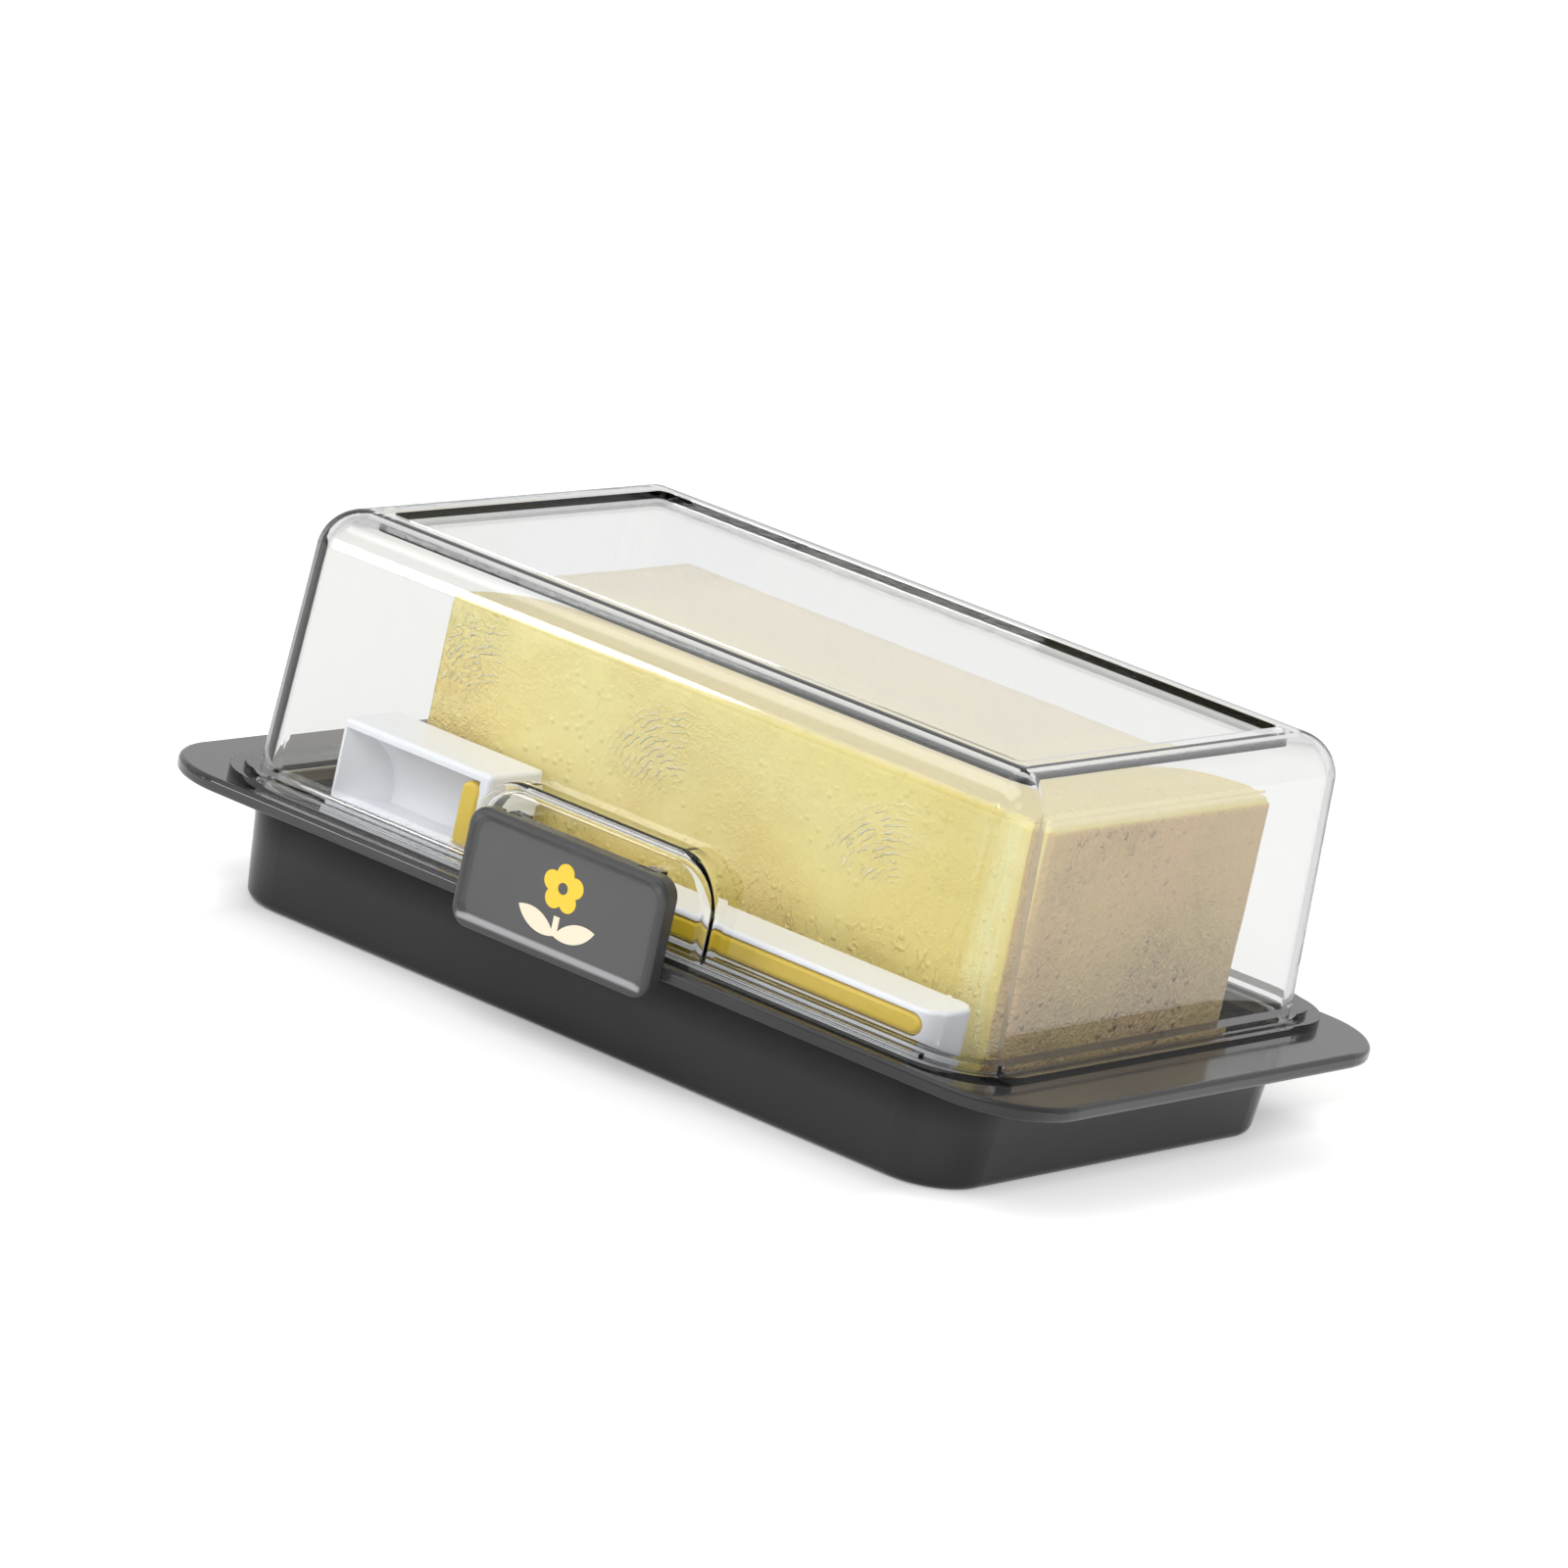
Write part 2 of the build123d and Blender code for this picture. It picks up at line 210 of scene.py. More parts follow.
def trayPlastic():
    material, tree, shader = newMaterial("trayPlastic")
    cloud = objectPattern(tree, "ShaderNodeTexNoise", trayFinish["cloudScale"], Detail=4).outputs["Fac"]
    grain = objectPattern(tree, "ShaderNodeTexNoise", trayFinish["grainScale"], Detail=2).outputs["Fac"]
    parts = objectParts(tree)
    # painted shade on the body close under the flange, and less shine there
    underFlangeShade = ramp(tree, parts["Z"], 0, 1, *trayFinish["underFlangeShadeHeights"])
    onFlange = ramp(tree, parts["Z"], 0, 1, *trayFinish["flangeHeights"])
    body = blendColours(tree, cloud, trayFinish["dark"], trayFinish["light"])
    body = blendColours(tree, underFlangeShade, body, trayFinish["underFlangeShade"])
    # painted light: the flange's colour is lighter than the body's
    flange = blendColours(tree, cloud, trayFinish["litFlangeDark"], trayFinish["litFlangeLight"])
    tree.links.new(blendColours(tree, onFlange, body, flange), shader.inputs["Base Color"])
    dulled = product(tree, ramp(tree, parts["X"], 0, 1, *trayFinish["dullX"]),
                     ramp(tree, parts["Y"], 1, 0, *trayFinish["dullY"]))
    bodyShine = product(tree, ramp(tree, underFlangeShade, 1, trayFinish["underFlangeShadeShine"]), trayFinish["bodyShine"])
    flangeShine = product(tree, ramp(tree, dulled, 1, trayFinish["dull"]), trayFinish["flangeShine"], onFlange)
    tree.links.new(mathNode(tree, "MAXIMUM", bodyShine, flangeShine), shader.inputs["Specular IOR Level"])
    tree.links.new(ramp(tree, cloud, *trayFinish["gloss"], 0.35, 0.65), shader.inputs["Roughness"])
    bump = bumpNode(tree, grain, trayFinish["bumpDepth"], 0.4)
    tree.links.new(bump.outputs["Normal"], shader.inputs["Normal"])
    return material


# Clear plastic of the lid
lidFinish = {
    "tint": (0.985, 0.990, 0.990),
    "roughness": 0.01,
    "ior": 1.49,
    "through": (0.96, 0.965, 0.965),
    "depthTint": (0.50, 0.51, 0.50),    # long paths inside the plastic turn grey
    "depthPower": 30.0,
}


def clearPlastic():
    material, tree, shader = newMaterial("clearPlastic")
    shader.inputs["Base Color"].default_value = (*lidFinish["tint"], 1)
    shader.inputs["Roughness"].default_value = lidFinish["roughness"]
    shader.inputs["IOR"].default_value = lidFinish["ior"]
    shader.inputs["Transmission Weight"].default_value = 1.0
    # lamps and soft light go straight through, so that what is inside is lit
    path = addNode(tree, "ShaderNodeLightPath")
    through = addNode(tree, "ShaderNodeBsdfTransparent")
    through.inputs["Color"].default_value = (*lidFinish["through"], 1)
    surface = shader.outputs["BSDF"]
    for kind in ("Is Shadow Ray", "Is Diffuse Ray"):
        join = addNode(tree, "ShaderNodeMixShader")
        tree.links.new(path.outputs[kind], join.inputs["Fac"])
        tree.links.new(surface, join.inputs[1])
        tree.links.new(through.outputs["BSDF"], join.inputs[2])
        surface = join.outputs["Shader"]
    tree.links.new(surface, tree.nodes["Material Output"].inputs["Surface"])
    inside = addNode(tree, "ShaderNodeVolumeAbsorption")
    inside.inputs["Color"].default_value = (*lidFinish["depthTint"], 1)
    inside.inputs["Density"].default_value = lidFinish["depthPower"]
    tree.links.new(inside.outputs["Volume"], tree.nodes["Material Output"].inputs["Volume"])
    return material


# Satin plastics of the latch and the cutter
satinFinish = {
    "cloudScale": 60,
    "grainScale": 2200,
    "bumpDepth": 0.000015,
}


def satinPlastic(name, finish, shadePaint=None):
    # shadePaint changes the colour by the place on the piece
    material, tree, shader = newMaterial(name)
    cloud = objectPattern(tree, "ShaderNodeTexNoise", satinFinish["cloudScale"], Detail=4).outputs["Fac"]
    grain = objectPattern(tree, "ShaderNodeTexNoise", satinFinish["grainScale"], Detail=2).outputs["Fac"]
    colour = blendColours(tree, cloud, finish["dark"], finish["light"])
    if shadePaint:
        colour = shadePaint(tree, colour)
    tree.links.new(colour, shader.inputs["Base Color"])
    tree.links.new(ramp(tree, cloud, *finish["gloss"], 0.35, 0.65), shader.inputs["Roughness"])
    bump = bumpNode(tree, grain, satinFinish["bumpDepth"], 0.35)
    tree.links.new(bump.outputs["Normal"], shader.inputs["Normal"])
    return material


yellowFinish = {
    "dark": (0.84, 0.58, 0.035),
    "light": (0.88, 0.63, 0.050),
    "gloss": (0.25, 0.35),
}

creamFinish = {
    "dark": (0.84, 0.76, 0.58),
    "light": (0.88, 0.80, 0.62),
    "gloss": (0.4, 0.5),
}

cutterFinish = {
    "dark": (0.91, 0.92, 0.96),
    "light": (0.94, 0.95, 0.99),
    "gloss": (0.30, 0.40),
    "pocket": (0.66, 0.65, 0.65),       # painted shade deep in the pocket, under its roof
    "pocketX": (-0.0575, -0.0500),      # where the shade sets in and where it is full
    "pocketY": (-0.0444, -0.0425),
    "pocketZ": (0.0240, 0.0335),
    "roofZ": (0.0345, 0.0347),          # and where it ends
    "endX": (-0.0306, -0.0304),
}


# painted shade in the cutter's thumb pocket, fullest deep under its roof
def pocketShade(tree, colour):
    parts = objectParts(tree)
    deep = product(tree, ramp(tree, parts["X"], 0, 1, *cutterFinish["pocketX"]),
                   ramp(tree, parts["Y"], 0, 1, *cutterFinish["pocketY"]),
                   ramp(tree, parts["Z"], 0, 1, *cutterFinish["pocketZ"]),
                   ramp(tree, parts["Z"], 1, 0, *cutterFinish["roofZ"]),
                   ramp(tree, parts["X"], 1, 0, *cutterFinish["endX"]))
    return blendColours(tree, deep, colour, cutterFinish["pocket"])


latchFinish = {
    "middle": (-0.0005, 0.025),         # of the plate, along x and z
    "field": (0.0193, 0.0088),          # half sizes of the sunken field
    "fieldEdge": (-0.0004, 0.0003),     # where the border's colour sets in and is full
    "dark": (0.080, 0.080, 0.083),
    "light": (0.094, 0.094, 0.097),
    "gloss": (0.30, 0.40),
    "border": (0.050, 0.050, 0.052),
    "lipHighlight": (0.34, 0.34, 0.35),          # painted highlight on the slope under the field
    "lipFrom": (0.0159, 0.0163),
    "lipTo": (0.0168, 0.0172),
}


# a darker border round the sunken field, and a painted highlight on the slope under the field
def borderShade(tree, colour):
    parts = objectParts(tree)
    outside = []
    for axis, middle, half in zip("XZ", latchFinish["middle"], latchFinish["field"]):
        away = mathNode(tree, "ABSOLUTE", mathNode(tree, "SUBTRACT", parts[axis], middle))
        outside.append(ramp(tree, away, 0, 1, *[half + edge for edge in latchFinish["fieldEdge"]]))
    colour = blendColours(tree, mathNode(tree, "MAXIMUM", *outside), colour, latchFinish["border"])
    # painted highlight along the slope under the field
    onLip = product(tree, ramp(tree, parts["Z"], 0, 1, *latchFinish["lipFrom"]),
                    ramp(tree, parts["Z"], 1, 0, *latchFinish["lipTo"]), ramp(tree, outside[0], 1, 0))
    return blendColours(tree, onLip, colour, latchFinish["lipHighlight"])


steelFinish = {
    "dark": (0.50, 0.50, 0.51),
    "light": (0.66, 0.66, 0.67),
    "gloss": (0.22, 0.38),
    "drawnScale": 900,
    "drawnStretch": (0.05, 1, 1),       # streaks run along the wire
}


def drawnSteel():
    material, tree, shader = newMaterial("drawnSteel")
    streak = objectPattern(tree, "ShaderNodeTexNoise", steelFinish["drawnScale"], stretch=steelFinish["drawnStretch"],
                           Detail=3).outputs["Fac"]
    tree.links.new(blendColours(tree, streak, steelFinish["dark"], steelFinish["light"]), shader.inputs["Base Color"])
    tree.links.new(ramp(tree, streak, *steelFinish["gloss"]), shader.inputs["Roughness"])
    shader.inputs["Metallic"].default_value = 1.0
    return material


# Butter: the front has strokes of a spatula in fans, the right end is cut
butterFinish = {
    "upper": (0.90, 0.79, 0.32),
    "lower": (0.80, 0.57, 0.17),
    "heights": (0.006, 0.052),          # over which lower turns to upper
    "cloudy": (0.91, 0.81, 0.42),
    "cloudyShare": 0.6,
    "warmRight": (0.82, 0.68, 0.215),
    "rightX": (-0.010, 0.050),
    "top": (0.87, 0.75, 0.50),
    "topHeights": (0.0572, 0.0582),     # where the top's rounded edge begins
    "topRim": (0.93, 0.81, 0.49),       # along the front and right of the top
    "rimX": (0.034, 0.046),
    "rimY": (-0.008, 0.008),
    "paleStrip": (0.86, 0.80, 0.40),    # up the front, near its right end
    "stripFrom": (0.0565, 0.0595),
    "stripTo": (0.0640, 0.0660),
    # the cut end's beige is partly its own colour and partly painted shade, darker than the front
    "cut": (0.76, 0.56, 0.255),
    "cutPink": (0.79, 0.54, 0.28),
    "hollowShade": (0.965, 1.02),              # painted shade: the hollows of the fine marks are a little darker
    "roughness": (0.34, 0.52),
    "inner": 0.1,                       # share of the light that goes under the surface
    "innerReach": (1.0, 0.7, 0.25),
    "innerScale": 0.0008,
}

butterPatterns = {
    "cloud": {"scale": 34, "Detail": 4},
    "blotch": {"scale": 55, "Detail": 3},
    "sweep": {"scale": 60, "stretch": (0.35, 1, 1.6), "Detail": 4, "Distortion": 0.6},
    "streak": {"scale": 900, "stretch": (1, 1, 0.16), "Detail": 3},
    "grain": {"scale": 1500, "stretch": (1, 1, 0.7), "Detail": 4, "Distortion": 0.5},
    "wrinkle": {"scale": 700, "Detail": 3, "Distortion": 1.8},
    "dashes": {"scale": 560, "stretch": (1, 1, 0.5), "Detail": 2, "Distortion": 0.8},
}

butterStrokes = {
    # middle of a fan on the front, and its nearest and farthest stroke
    "fans": [(-0.0025, 0.0370, 0.0050, 0.0178), (0.0435, 0.0362, 0.0050, 0.0170), (-0.0430, 0.0400, 0.0060, 0.0176)],
    "waves": {"Scale": 270, "Distortion": 4.6, "Detail": 3, "Detail Scale": 2.4},
    "anglesFrom": (1.45, 1.95),         # radians, anticlockwise from the right
    "anglesTo": (2.55, 3.05),
    "frontY": (-0.0285, -0.0275),
    "breakScale": 420,                  # of the gaps in the strokes
    "depth": 0.00034,
    # painted highlight along the strokes' ridges
    "ridgeHighlight": (0.97, 0.92, 0.68),
    "ridgeHighlightShare": 0.9,
}

butterMarks = {
    "depth": 0.00085,
    "grain": 0.10,                      # shares of the depth
    "leftWrinkles": 0.9,
    "leftX": (-0.048, -0.040),
    "dashes": 0.45,
    "dashHeights": (0.028, 0.040),      # they fade out going up
    "pits": 0.35,
    "pitScale": 420,
    "patchWrinkles": 0.40,
    "tornDepth": 0.0007,                # on the cut end
}


def strokeFan(tree, place, centreX, centreZ, nearest, farthest):
    # broken, curved strokes about a point on the front, strongest to its upper left
    shift = addNode(tree, "ShaderNodeVectorMath", operation="SUBTRACT")
    shift.inputs[1].default_value = (centreX, 0, centreZ)
    tree.links.new(place, shift.inputs[0])
    flat = addNode(tree, "ShaderNodeVectorMath", operation="MULTIPLY")
    flat.inputs[1].default_value = (1, 0, 1)
    tree.links.new(shift.outputs["Vector"], flat.inputs[0])
    length = addNode(tree, "ShaderNodeVectorMath", operation="LENGTH")
    tree.links.new(flat.outputs["Vector"], length.inputs[0])
    reach = length.outputs["Value"]
    parts = addNode(tree, "ShaderNodeSeparateXYZ")
    tree.links.new(shift.outputs["Vector"], parts.inputs["Vector"])
    angle = mathNode(tree, "ARCTAN2", parts.outputs["Z"], parts.outputs["X"])
    waves = addNode(tree, "ShaderNodeTexWave", wave_type="RINGS", rings_direction="Y", wave_profile="SIN")
    for key, value in butterStrokes["waves"].items():
        waves.inputs[key].default_value = value
    tree.links.new(flat.outputs["Vector"], waves.inputs["Vector"])
    broken = objectPattern(tree, "ShaderNodeTexNoise", butterStrokes["breakScale"], Detail=3).outputs["Fac"]
    return product(tree, ramp(tree, waves.outputs["Fac"], 0, 1, 0.62, 1.0),
                   ramp(tree, reach, 0, 1, nearest - 0.002, nearest + 0.003),
                   ramp(tree, reach, 1, 0, farthest - 0.002, farthest + 0.001),
                   ramp(tree, angle, 0, 1, *butterStrokes["anglesFrom"]),
                   ramp(tree, angle, 1, 0, *butterStrokes["anglesTo"]),
                   ramp(tree, parts.outputs["Y"], 1, 0, *butterStrokes["frontY"]),
                   ramp(tree, broken, 0, 1, 0.42, 0.56))


def butterFat():
    material, tree, shader = newMaterial("butterFat")
    place = addNode(tree, "ShaderNodeTexCoord").outputs["Object"]
    parts = objectParts(tree)
    cutFace = addNode(tree, "ShaderNodeAttribute", attribute_name="cutFace").outputs["Fac"]
    cloud, blotch, sweep, streak, grain, wrinkle, dashes = [
        objectPattern(tree, "ShaderNodeTexNoise", **pattern).outputs["Fac"] for pattern in butterPatterns.values()]
    pits = objectPattern(tree, "ShaderNodeTexVoronoi", butterMarks["pitScale"], Randomness=1.0).outputs["Distance"]
    fans = [strokeFan(tree, place, *fan) for fan in butterStrokes["fans"]]
    strokes = fans[0]
    for fan in fans[1:]:
        strokes = mathNode(tree, "MAXIMUM", strokes, fan)

    # paler and warmer patches, top to bottom and left to right
    upward = mathNode(tree, "ADD", ramp(tree, parts["Z"], 0, 1, *butterFinish["heights"]),
                      ramp(tree, blotch, -0.35, 0.35, 0.3, 0.7))
    rightward = product(tree, ramp(tree, parts["X"], 0, 1, *butterFinish["rightX"]),
                        ramp(tree, cloud, 0.5, 1, 0.4, 0.6))
    swept = ramp(tree, sweep, 0, butterFinish["cloudyShare"], 0.50, 0.70)
    strip = product(tree, ramp(tree, parts["X"], 0, 1, *butterFinish["stripFrom"]),
                    ramp(tree, parts["X"], 1, 0, *butterFinish["stripTo"]), ramp(tree, streak, 0.25, 0.9, 0.38, 0.62))
    onTop = ramp(tree, parts["Z"], 0, 1, *butterFinish["topHeights"])
    rimward = mathNode(tree, "MAXIMUM", ramp(tree, parts["Y"], 1, 0, *butterFinish["rimY"]),
                       ramp(tree, parts["X"], 0, 1, *butterFinish["rimX"]))
    colour = blendColours(tree, upward, butterFinish["lower"], butterFinish["upper"])
    colour = blendColours(tree, rightward, colour, butterFinish["warmRight"])
    colour = blendColours(tree, swept, colour, butterFinish["cloudy"])
    colour = blendColours(tree, strip, colour, butterFinish["paleStrip"])
    top = blendColours(tree, rimward, butterFinish["top"], butterFinish["topRim"])
    colour = blendColours(tree, onTop, colour, top)
    # painted highlight along the strokes' ridges
    colour = blendColours(tree, product(tree, strokes, butterStrokes["ridgeHighlightShare"]), colour, butterStrokes["ridgeHighlight"])
    # the cut end: its own beige, partly painted shade
    beige = blendColours(tree, ramp(tree, blotch, 0, 1, 0.45, 0.65), butterFinish["cut"], butterFinish["cutPink"])
    colour = blendColours(tree, cutFace, colour, beige)
    # painted shade in the hollows of the fine marks
    fine = mathNode(tree, "ADD", product(tree, grain, 0.6), product(tree, wrinkle, 0.4))
    hollowShade = addNode(tree, "ShaderNodeVectorMath", operation="SCALE")
    tree.links.new(colour, hollowShade.inputs[0])
    tree.links.new(ramp(tree, fine, *butterFinish["hollowShade"], 0.40, 0.60), hollowShade.inputs["Scale"])
    tree.links.new(hollowShade.outputs["Vector"], shader.inputs["Base Color"])
    tree.links.new(ramp(tree, blotch, *butterFinish["roughness"], 0.3, 0.7), shader.inputs["Roughness"])
    shader.inputs["Subsurface Weight"].default_value = butterFinish["inner"]
    shader.inputs["Subsurface Radius"].default_value = butterFinish["innerReach"]
    shader.inputs["Subsurface Scale"].default_value = butterFinish["innerScale"]

    # fine marks: grain everywhere, rough at the left edge, dashes and pits in patches, and the fans
    leftEdge = product(tree, ramp(tree, parts["X"], 1, 0, *butterMarks["leftX"]),
                       ramp(tree, blotch, 0.4, 1, 0.4, 0.6))
    low = mathNode(tree, "MAXIMUM", ramp(tree, parts["Z"], 1, 0, *butterMarks["dashHeights"]), cutFace)
    patch = product(tree, ramp(tree, cloud, 0.15, 1, 0.44, 0.56), mathNode(tree, "MAXIMUM", low, 0.25))
    rough = mathNode(tree, "MAXIMUM", ramp(tree, blotch, 1, 0.15, 0.42, 0.52), product(tree, cutFace, 0.6))
    pitted = product(tree, ramp(tree, pits, 1, 0, 0.02, 0.30), ramp(tree, blotch, 0.1, 1, 0.44, 0.56))
    marks = [(grain, butterMarks["grain"]),
             (product(tree, wrinkle, leftEdge), butterMarks["leftWrinkles"]),
             (product(tree, ramp(tree, dashes, 0, 1, 0.57, 0.67), patch), butterMarks["dashes"]),
             (pitted, butterMarks["pits"]),
             (product(tree, wrinkle, rough), butterMarks["patchWrinkles"])]
    last = None
    for relief, share in marks:
        last = bumpNode(tree, relief, butterMarks["depth"], share, last)
    torn = product(tree, mathNode(tree, "ADD", wrinkle, pitted), cutFace)
    last = bumpNode(tree, torn, butterMarks["tornDepth"], ramp(tree, cloud, 0.2, 1, 0.40, 0.60), last)
    last = bumpNode(tree, strokes, butterStrokes["depth"], 1.0, last)
    tree.links.new(last.outputs["Normal"], shader.inputs["Normal"])
    return material


butterShape = {
    "squares": (196, 80, 92),   # along x, y and z
    "edgeRound": 0.0016,
    "edgeSteps": (0.0, 0.35, 0.7),  # where the lines lie on the rounded edge, as shares of it
    "wander": 0.00025,          # how far the faces drift inwards
    "wanderScale": 60,
    "wornEdge": 0.00045,
    "wornScale": 240,
    "dents": 46,
    "dentsInFront": 0.65,       # the rest are on the cut end
    "dentSize": (0.0008, 0.0021),
    "dentDepth": (0.00010, 0.00028),
    "seed": 7,
}


def spread(low, high, count, radius):
    # places along one side, closer together where the edge is rounded
    ends = [radius * share for share in butterShape["edgeSteps"]]
    middle = [low + radius + (high - low - 2 * radius) * step / count for step in range(count + 1)]
    return [low + end for end in ends] + middle + [high - end for end in reversed(ends)]


def makeButter(cadNode):
    low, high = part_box(cadNode)
    radius = butterShape["edgeRound"]
    sides = [spread(low[axis], high[axis], butterShape["squares"][axis], radius) for axis in range(3)]
    last = [len(side) - 1 for side in sides]
    random.seed(butterShape["seed"])
    dents = []
    for _ in range(butterShape["dents"]):
        middle = [random.uniform(low[axis], high[axis]) for axis in range(3)]
        if random.random() < butterShape["dentsInFront"]:
            middle[1] = low[1]
        else:
            middle[0] = high[0]
        size, depth = random.uniform(*butterShape["dentSize"]), random.uniform(*butterShape["dentDepth"])
        dents.append((Vector(middle), size, depth))
    found, points, cutShare, squares = {}, [], [], []

    def pointAt(key):
        if key in found:
            return found[key]
        raw = Vector([sides[axis][key[axis]] for axis in range(3)])
        inner = Vector([min(max(raw[axis], low[axis] + radius), high[axis] - radius) for axis in range(3)])
        outward = (raw - inner).normalized()
        edge = 1 - max(abs(part) for part in outward)
        sink = butterShape["wander"] * (0.5 + 0.5 * noise.noise(raw * butterShape["wanderScale"]))
        worn = min(edge * 4, 1) * (0.5 + 0.5 * noise.noise(raw * butterShape["wornScale"]))
        sink += butterShape["wornEdge"] * worn
        for middle, size, depth in dents:
            gap = (raw - middle).length / size
            if gap < 1:
                sink += depth * (1 - gap * gap) ** 2
        found[key] = len(points)
        points.append(inner + outward * radius - outward * sink)
        # the cut end's colour starts just round its upright edges
        cutShare.append(min(max((outward.x + 0.6 * abs(outward.y) - 0.90) / 0.09, 0), 1))
        return found[key]

    for axis in range(3):
        across, along = (axis + 1) % 3, (axis + 2) % 3
        for side in (0, last[axis]):
            for i in range(last[across]):
                for j in range(last[along]):
                    corners = []
                    for stepI, stepJ in ((0, 0), (1, 0), (1, 1), (0, 1)):
                        key = [0, 0, 0]
                        key[axis], key[across], key[along] = side, i + stepI, j + stepJ
                        corners.append(pointAt(tuple(key)))
                    squares.append(corners if side else corners[::-1])
    mesh = bpy.data.meshes.new("butter_soft")
    mesh.from_pydata(points, [], squares)
    mesh.polygons.foreach_set("use_smooth", [True] * len(squares))
    mesh.attributes.new("cutFace", "FLOAT", "POINT").data.foreach_set("value", cutShare)
    piece = bpy.data.objects.new("butter_soft", mesh)
    bpy.context.scene.collection.objects.link(piece)
    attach(piece, "butter")
    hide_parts("butter_block")
    return piece


dress(nodes["base_tray"], trayPlastic())
dress(nodes["lid_shell"], clearPlastic())
dress(nodes["latch_plate"], satinPlastic("latchPlastic", latchFinish, borderShade))
steel = drawnSteel()
for name in ("latch_pin", "cutter_wire", "wire_ferrules"):
    dress(nodes[name], steel)
yellow = satinPlastic("yellowPlastic", yellowFinish)
dress(nodes["latch_blossom"], yellow)
dress(nodes["cutter_grip"], yellow)
dress(nodes["latch_leaves"], satinPlastic("creamPlastic", creamFinish))
dress(nodes["cutter_frame"], satinPlastic("whitePlastic", cutterFinish, pocketShade))
dress(makeButter("butter_block"), butterFat())
print("materials set")


# Floor, world and lamps
studio = {
    "floorSize": 12.0,
    "floorColour": 0.9,
    "glowNear": 0.17,           # the floor's own glow makes it white for the camera
    "glowFar": 0.60,
    "glowReach": (0.25, 0.9),   # metres from the object
    "endGlow": 0.36,            # painted light: more glow beyond the ends of the tray makes the shadow paler there
    "endX": (0.069, 0.080),
    "glowMirrored": 0.6,        # share of the glow that shiny surfaces mirror
    "glowThroughLid": 0.12,     # what shows through clear plastic instead
    # the floor as light that bounced inside the lid's walls meets it: metres along leftward, and strength
    "edgeShade": [(-0.150, 0.74), (-0.090, 0.62), (-0.020, 0.34), (0.060, 0.22), (0.098, 0.30), (0.106, 0.66),
                  (0.114, 0.56), (0.124, 0.05), (0.150, 0.035)],
    "leftward": (-0.83, -0.557, 0.0),
    "worldLight": 0.70,         # what lights the object
    "backdrop": (-0.56, 0.83, 0.0),
    "backdropFacing": (-0.25, 0.50),
    "backdropShine": 0.90,      # what shiny and clear surfaces show behind the object
    "roomShine": 0.16,          # and in front of it
    "ceilingShade": 0.45,
    "ceilingHeights": (0.35, 0.85),
}

# size in metres, power in watts, and whether shiny surfaces mirror it
lamps = {
    "stripeLamp": {
        "place": (-0.815, -1.080, 0.27),
        "size": (0.25, 0.40),
        "power": 1.9,
        "mirrored": True,
        "shape": "ELLIPSE",     # its ends fade in the highlight along the lid's upper edge
    },
    "frontLamp": {"place": (-0.957, -0.915, 0.25), "size": (0.70, 0.40), "power": 1.5, "mirrored": False},
    "keyLamp": {"place": (-0.30, -0.70, 1.50), "size": (1.60, 1.20), "power": 11.5, "mirrored": True},
    "fillLamp": {"place": (0.80, -0.90, 0.90), "size": (0.60, 0.60), "power": 2.6, "mirrored": False},
}


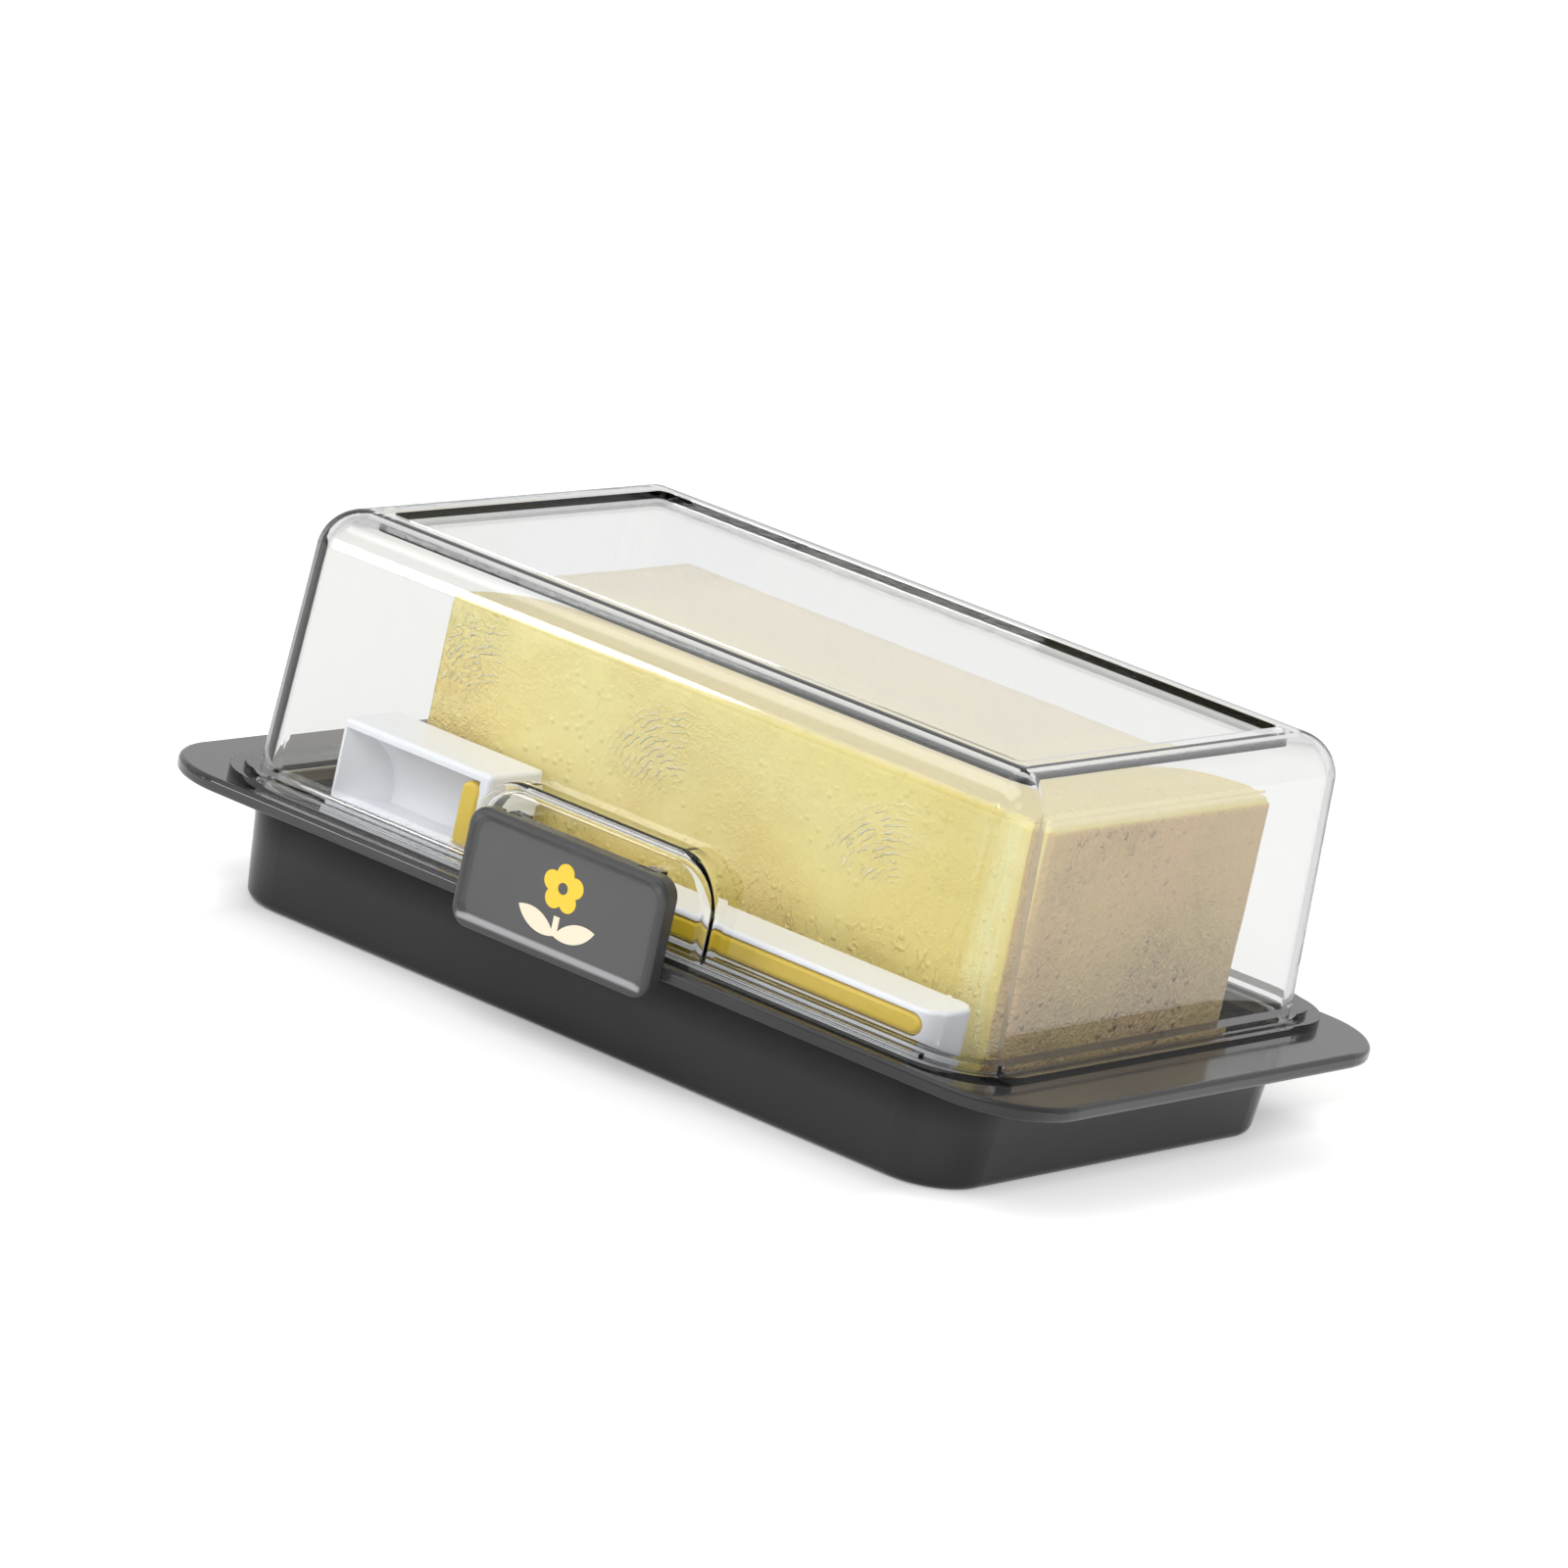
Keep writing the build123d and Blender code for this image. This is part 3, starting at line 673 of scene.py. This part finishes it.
def makeFloor():
    mesh = bpy.data.meshes.new("floor")
    half = studio["floorSize"] / 2
    mesh.from_pydata([(-half, -half, 0), (half, -half, 0), (half, half, 0), (-half, half, 0)], [], [(0, 1, 2, 3)])
    floor = bpy.data.objects.new("floor", mesh)
    bpy.context.scene.collection.objects.link(floor)
    material, tree, shader = newMaterial("paleFloor")
    shader.inputs["Base Color"].default_value = (studio["floorColour"],) * 3 + (1,)
    shader.inputs["Roughness"].default_value = 0.9
    shader.inputs["Specular IOR Level"].default_value = 0.0
    path = addNode(tree, "ShaderNodeLightPath")
    place = addNode(tree, "ShaderNodeNewGeometry").outputs["Position"]
    reach = addNode(tree, "ShaderNodeVectorMath", operation="LENGTH")
    tree.links.new(place, reach.inputs[0])
    direct = ramp(tree, reach.outputs["Value"], studio["glowNear"], studio["glowFar"], *studio["glowReach"])
    where = addNode(tree, "ShaderNodeSeparateXYZ")
    tree.links.new(place, where.inputs["Vector"])
    # painted light: more glow beyond the ends of the tray pales the shadow there
    atEnds = ramp(tree, mathNode(tree, "ABSOLUTE", where.outputs["X"]), 0, studio["endGlow"], *studio["endX"])
    onlyMirrored = mathNode(tree, "SUBTRACT", path.outputs["Is Glossy Ray"], path.outputs["Is Transmission Ray"])
    mirrored = product(tree, mathNode(tree, "MAXIMUM", onlyMirrored, 0.0), studio["glowMirrored"])
    direct = product(tree, mathNode(tree, "ADD", direct, atEnds),
                     mathNode(tree, "MAXIMUM", path.outputs["Is Camera Ray"], mirrored))
    throughLid = product(tree, path.outputs["Is Transmission Ray"], studio["glowThroughLid"])
    glow = addNode(tree, "ShaderNodeEmission")
    tree.links.new(mathNode(tree, "ADD", direct, throughLid), glow.inputs["Strength"])
    lit = addNode(tree, "ShaderNodeAddShader")
    tree.links.new(shader.outputs["BSDF"], lit.inputs[0])
    tree.links.new(glow.outputs["Emission"], lit.inputs[1])
    # light that bounced inside the lid's walls meets a darker room, so that the edges read
    sideways = addNode(tree, "ShaderNodeVectorMath", operation="DOT_PRODUCT")
    sideways.inputs[1].default_value = studio["leftward"]
    tree.links.new(place, sideways.inputs[0])
    shades = addNode(tree, "ShaderNodeValToRGB")
    stops = shades.color_ramp.elements
    lowest, highest = studio["edgeShade"][0][0], studio["edgeShade"][-1][0]
    tree.links.new(ramp(tree, sideways.outputs["Value"], 0, 1, lowest, highest), shades.inputs["Fac"])
    for at, strength in studio["edgeShade"]:
        share = (at - lowest) / (highest - lowest)
        if share == 0:          # a new colour ramp has its first and last stop
            stop = stops[0]
        elif share == 1:
            stop = stops[-1]
        else:
            stop = stops.new(share)
        stop.color = (strength, strength, strength, 1)
    shade = addNode(tree, "ShaderNodeEmission")
    tree.links.new(shades.outputs["Color"], shade.inputs["Color"])
    bounced = mathNode(tree, "GREATER_THAN", path.outputs["Glossy Depth"], 0.5)
    join = addNode(tree, "ShaderNodeMixShader")
    tree.links.new(product(tree, bounced, path.outputs["Is Transmission Ray"]), join.inputs["Fac"])
    tree.links.new(lit.outputs["Shader"], join.inputs[1])
    tree.links.new(shade.outputs["Emission"], join.inputs[2])
    tree.links.new(join.outputs["Shader"], tree.nodes["Material Output"].inputs["Surface"])
    mesh.materials.append(material)


def makeWorld():
    # even light on the object, white for the camera, and a bright backdrop in a dim room for mirrored and bent rays
    world = bpy.data.worlds.new("studioWorld")
    bpy.context.scene.world = world
    world.use_nodes = True
    tree = world.node_tree
    background = tree.nodes["Background"]
    background.inputs["Color"].default_value = (1, 1, 1, 1)
    path = addNode(tree, "ShaderNodeLightPath")
    place = addNode(tree, "ShaderNodeTexCoord")
    facing = addNode(tree, "ShaderNodeVectorMath", operation="DOT_PRODUCT")
    facing.inputs[1].default_value = studio["backdrop"]
    tree.links.new(place.outputs["Generated"], facing.inputs[0])
    parts = addNode(tree, "ShaderNodeSeparateXYZ")
    tree.links.new(place.outputs["Generated"], parts.inputs["Vector"])
    around = ramp(tree, facing.outputs["Value"], studio["roomShine"], studio["backdropShine"],
                  *studio["backdropFacing"])
    overhead = ramp(tree, parts.outputs["Z"], 1.0, studio["ceilingShade"], *studio["ceilingHeights"])
    bent = mathNode(tree, "MAXIMUM", path.outputs["Is Transmission Ray"], path.outputs["Is Glossy Ray"])
    unseen = addNode(tree, "ShaderNodeMix", data_type="FLOAT")
    tree.links.new(bent, unseen.inputs[0])
    unseen.inputs[2].default_value = studio["worldLight"]
    tree.links.new(product(tree, around, overhead), unseen.inputs[3])
    strength = addNode(tree, "ShaderNodeMix", data_type="FLOAT")
    tree.links.new(path.outputs["Is Camera Ray"], strength.inputs[0])
    tree.links.new(unseen.outputs[0], strength.inputs[2])
    strength.inputs[3].default_value = 1.0
    tree.links.new(strength.outputs[0], background.inputs["Strength"])


def makeLamp(name, place, size, power, mirrored, shape="RECTANGLE", aim=(0, 0, 0.03)):
    lamp = bpy.data.lights.new(name, "AREA")
    lamp.shape = shape
    lamp.size, lamp.size_y = size
    lamp.energy = power
    holder = bpy.data.objects.new(name, lamp)
    bpy.context.scene.collection.objects.link(holder)
    back = (Vector(place) - Vector(aim)).normalized()
    right = Vector((0, 0, 1)).cross(back).normalized()
    up = back.cross(right)
    holder.matrix_world = Matrix.Translation(place) @ Matrix((right, up, back)).transposed().to_4x4()
    holder.visible_glossy = mirrored


makeFloor()
makeWorld()
for name, lamp in lamps.items():
    makeLamp(name, **lamp)
bpy.context.scene.view_settings.view_transform = "Standard"
print("studio set")
